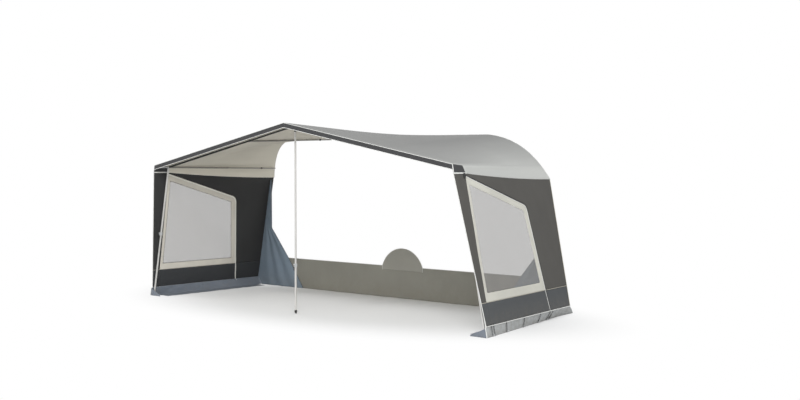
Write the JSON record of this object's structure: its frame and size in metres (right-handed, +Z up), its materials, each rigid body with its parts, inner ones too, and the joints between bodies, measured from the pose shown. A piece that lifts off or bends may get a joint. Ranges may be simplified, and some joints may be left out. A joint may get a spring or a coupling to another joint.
{
  "type": "caravan awning",
  "caption": "Gable-fronted awning with sloping side walls, zip-in windows, mud flaps and telescopic pole frame; open front, rear edge fits a vehicle rail.",
  "frame": {"origin": "on the ground, in the middle of the outer sizes", "axes": "+X to the right seen from the open front, +Y towards the vehicle, +Z up"},
  "size_m": [6.6038, 2.7472, 2.72],
  "materials": {
    "roof_cloth": "coated woven cloth, grey",
    "dark_cloth": "coated cloth, anthracite",
    "wall_cloth": "woven cloth, dark grey-brown",
    "lower_cloth": "coated cloth, slate",
    "window_cloth": "coated cloth, cream",
    "clear_foil": "clear soft foil",
    "mud_cloth": "coated ground cloth, grey",
    "seal_cloth": "soft cloth, blue-grey",
    "skirt_cloth": "coated cloth, warm grey",
    "piping": "white piping and zip",
    "pole_steel": "pale satin tube",
    "joint_plastic": "light grey moulding",
    "dark_plastic": "black moulding"
  },
  "bodies": {
    "awning": {"centre_pole_upper_tube": "pole_steel", "corner_joint_left": "joint_plastic", "corner_joint_right": "joint_plastic", "corner_return_left": "dark_cloth", "corner_return_right": "dark_cloth", "draught_skirt": "skirt_cloth", "fascia_left": "dark_cloth", "fascia_right": "dark_cloth", "front_strip_left": "wall_cloth", "front_strip_right": "wall_cloth", "leg_left_clamp_collar": "joint_plastic", "leg_right_clamp_collar": "joint_plastic", "leg_upper_tube_left": "pole_steel", "leg_upper_tube_right": "pole_steel", "mud_flap_left": "mud_cloth", "mud_flap_right": "mud_cloth", "peak_joint": "dark_plastic", "rail_keder": "piping", "rear_lower_panel_left": "lower_cloth", "rear_lower_panel_right": "lower_cloth", "rear_wall_left": "wall_cloth", "rear_wall_right": "wall_cloth", "roof_pole_outer_left_corner": "pole_steel", "roof_pole_outer_left_middle": "pole_steel", "roof_pole_outer_ridge": "pole_steel", "roof_pole_outer_right_corner": "pole_steel", "roof_pole_outer_right_middle": "pole_steel", "roof_sheet": "roof_cloth", "sealing_flap_left": "seal_cloth", "sealing_flap_right": "seal_cloth", "slope_pole_outer_left": "pole_steel", "slope_pole_outer_right": "pole_steel", "wheel_arch_cover": "skirt_cloth", "zip_chain_left": "piping", "zip_chain_right": "piping"},
    "leg_foot_tube_left": {"leg_lower_tube_left": "pole_steel", "leg_foot_left": "dark_plastic"},
    "slope_pole_slider_left": {"slope_pole_inner_left": "pole_steel"},
    "window_left": {"window_frame_left": "window_cloth", "window_foil_left": "clear_foil", "window_lower_panel_left": "lower_cloth"},
    "zip_pull_left": {"zip_slider_left": "dark_plastic"},
    "leg_lever_left": {"leg_left_clamp_lever": "dark_plastic"},
    "leg_foot_tube_right": {"leg_lower_tube_right": "pole_steel", "leg_foot_right": "dark_plastic"},
    "slope_pole_slider_right": {"slope_pole_inner_right": "pole_steel"},
    "window_right": {"window_frame_right": "window_cloth", "window_foil_right": "clear_foil", "window_lower_panel_right": "lower_cloth"},
    "zip_pull_right": {"zip_slider_right": "dark_plastic"},
    "leg_lever_right": {"leg_right_clamp_lever": "dark_plastic"},
    "centre_pole_foot": {"centre_pole_lower_tube": "pole_steel", "centre_pole_tip": "dark_plastic", "centre_clamp_collar": "joint_plastic"},
    "centre_lever": {"centre_clamp_lever": "dark_plastic"},
    "roof_pole_end_left_corner": {"roof_pole_inner_left_corner": "pole_steel"},
    "roof_pole_end_left_middle": {"roof_pole_inner_left_middle": "pole_steel"},
    "roof_pole_end_ridge": {"roof_pole_inner_ridge": "pole_steel"},
    "roof_pole_end_right_middle": {"roof_pole_inner_right_middle": "pole_steel"},
    "roof_pole_end_right_corner": {"roof_pole_inner_right_corner": "pole_steel"}
  },
  "joints": [
    {"name": "leg_length_left", "type": "slide", "parent": "awning", "child": "leg_foot_tube_left", "axis": [0.1848, 0, 0.9828], "range_m": [0, 0.6]},
    {"name": "slope_pole_length_left", "type": "slide", "parent": "awning", "child": "slope_pole_slider_left", "axis": [-0.9795, 0, -0.2015], "range_m": [0, 1.25]},
    {"name": "window_swing_left", "type": "hinge", "parent": "awning", "child": "window_left", "pos_m": [-3.27008, -1.04635, 0.134], "axis": [0.1834, -0.0262, 0.9827], "range_deg": [0, 110]},
    {"name": "zip_travel_left", "type": "slide", "parent": "awning", "child": "zip_pull_left", "axis": [0.1754, -0.1464, 0.9735], "range_m": [0, 1.2]},
    {"name": "leg_clamp_left", "type": "hinge", "parent": "awning", "child": "leg_lever_left", "pos_m": [-3.06361, -1.16675, 1.01769], "axis": [-0.9828, 0, 0.1848], "range_deg": [0, 100]},
    {"name": "leg_length_right", "type": "slide", "parent": "awning", "child": "leg_foot_tube_right", "axis": [-0.1848, 0, 0.9828], "range_m": [0, 0.6]},
    {"name": "slope_pole_length_right", "type": "slide", "parent": "awning", "child": "slope_pole_slider_right", "axis": [0.9795, 0, -0.2015], "range_m": [0, 1.25]},
    {"name": "window_swing_right", "type": "hinge", "parent": "awning", "child": "window_right", "pos_m": [3.27008, -1.04635, 0.134], "axis": [0.1834, 0.0262, -0.9827], "range_deg": [0, 110]},
    {"name": "zip_travel_right", "type": "slide", "parent": "awning", "child": "zip_pull_right", "axis": [-0.1754, -0.1464, 0.9735], "range_m": [0, 1.2]},
    {"name": "leg_clamp_right", "type": "hinge", "parent": "awning", "child": "leg_lever_right", "pos_m": [3.06361, -1.16675, 1.01769], "axis": [-0.9828, 0, -0.1848], "range_deg": [0, 100]},
    {"name": "centre_pole_length", "type": "slide", "parent": "awning", "child": "centre_pole_foot", "axis": [0, 0, 1], "range_m": [0, 0.38]},
    {"name": "centre_clamp", "type": "hinge", "parent": "centre_pole_foot", "child": "centre_lever", "pos_m": [0, -1.16675, 0.692], "axis": [-1, 0, 0], "range_deg": [0, 100]},
    {"name": "roof_pole_length_left_corner", "type": "slide", "parent": "awning", "child": "roof_pole_end_left_corner", "axis": [-0.039, -0.9992, 0.0045], "range_m": [0, 0.9]},
    {"name": "roof_pole_length_left_middle", "type": "slide", "parent": "awning", "child": "roof_pole_end_left_middle", "axis": [0.1772, -0.9834, -0.0382], "range_m": [0, 0.9]},
    {"name": "roof_pole_length_ridge", "type": "slide", "parent": "awning", "child": "roof_pole_end_ridge", "axis": [0, -0.999, 0.0449], "range_m": [0, 0.9]},
    {"name": "roof_pole_length_right_middle", "type": "slide", "parent": "awning", "child": "roof_pole_end_right_middle", "axis": [-0.1313, -0.9906, -0.0389], "range_m": [0, 0.9]},
    {"name": "roof_pole_length_right_corner", "type": "slide", "parent": "awning", "child": "roof_pole_end_right_corner", "axis": [0.0794, -0.9967, 0.0183], "range_m": [0, 0.9]}
  ]
}
